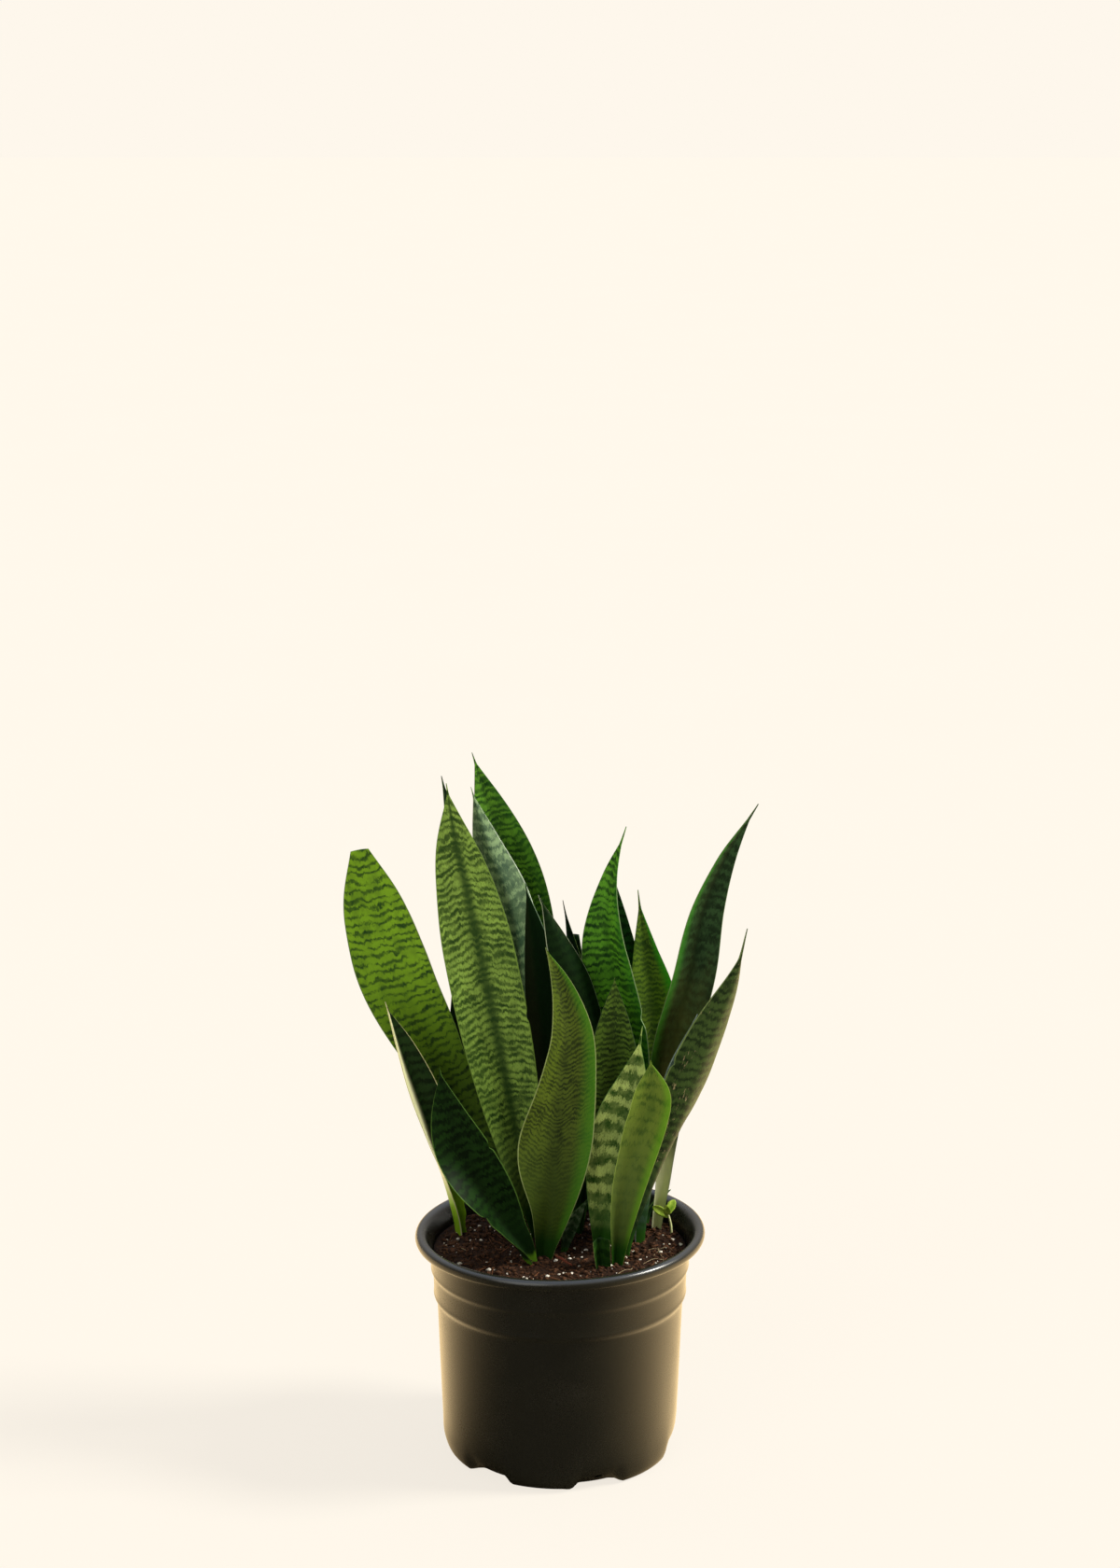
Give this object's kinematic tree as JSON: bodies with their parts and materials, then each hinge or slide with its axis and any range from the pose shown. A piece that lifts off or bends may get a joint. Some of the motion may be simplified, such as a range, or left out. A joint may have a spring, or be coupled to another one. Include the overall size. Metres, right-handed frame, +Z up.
{
  "type": "potted snake plant",
  "caption": "Young snake plant with stiff, banded, sword-shaped leaves rising from potting mix in a round ridged plastic nursery pot with drainage holes.",
  "frame": {"origin": "middle of the flat underside of the pot, on the surface it stands on", "axes": "+Z up, along the pot's axis; -Y is the front of the plant as seen by the viewer; +X is to the viewer's right"},
  "size_m": [0.2862, 0.2048, 0.4921],
  "materials": {
    "leaf_green": "satin, waxy leaf with darker green cross bands",
    "leaf_dark_green": "satin, waxy leaf, very dark green with faint bands",
    "leaf_pale_green": "satin, waxy leaf with pale grey-green cross bands",
    "pot_black": "satin black blow-moulded polyethylene",
    "mix_brown": "crumbly dark peat mix with white perlite grains",
    "rhizome_cream": "matte, fleshy, cream to tan",
    "twig_brown": "matte reddish-brown twig",
    "seedling_green": "satin yellow-green"
  },
  "bodies": {
    "root": {"leaf_back_cut": "leaf_green", "leaf_back_needle": "leaf_dark_green", "leaf_back_silver": "leaf_green", "leaf_back_tallest": "leaf_green", "leaf_centre_dark": "leaf_dark_green", "leaf_centre_dark_inner": "leaf_dark_green", "leaf_centre_dark_leaning": "leaf_dark_green", "leaf_centre_tall": "leaf_green", "leaf_centre_tall_hidden": "leaf_green", "leaf_front_banded": "leaf_pale_green", "leaf_front_bright_tip": "leaf_pale_green", "leaf_front_centre_twisted": "leaf_green", "leaf_front_edge_on": "leaf_green", "leaf_front_left_dark": "leaf_dark_green", "leaf_left_broad_cut": "leaf_green", "leaf_left_dark_needle": "leaf_dark_green", "leaf_left_narrow": "leaf_dark_green", "leaf_mid_right_behind": "leaf_green", "leaf_mid_right_short": "leaf_green", "leaf_mid_right_tall": "leaf_green", "leaf_mid_short_dark": "leaf_dark_green", "leaf_right_low": "leaf_dark_green", "leaf_right_sliver": "leaf_dark_green", "leaf_right_tall": "leaf_green", "leaf_stub_cut": "leaf_green", "nursery_pot": "pot_black", "potting_mix": "mix_brown", "pup_leaf_back_right": "leaf_dark_green", "pup_leaf_mottled": "leaf_pale_green", "rhizome_back": "rhizome_cream", "rhizome_back_left": "rhizome_cream", "rhizome_centre": "rhizome_cream", "rhizome_front": "rhizome_cream", "rhizome_front_right": "rhizome_cream", "rhizome_left": "rhizome_cream", "rhizome_mid_right": "rhizome_cream", "rhizome_right": "rhizome_cream", "twig": "twig_brown", "weed_seedling": "seedling_green"}
  },
  "joints": []
}
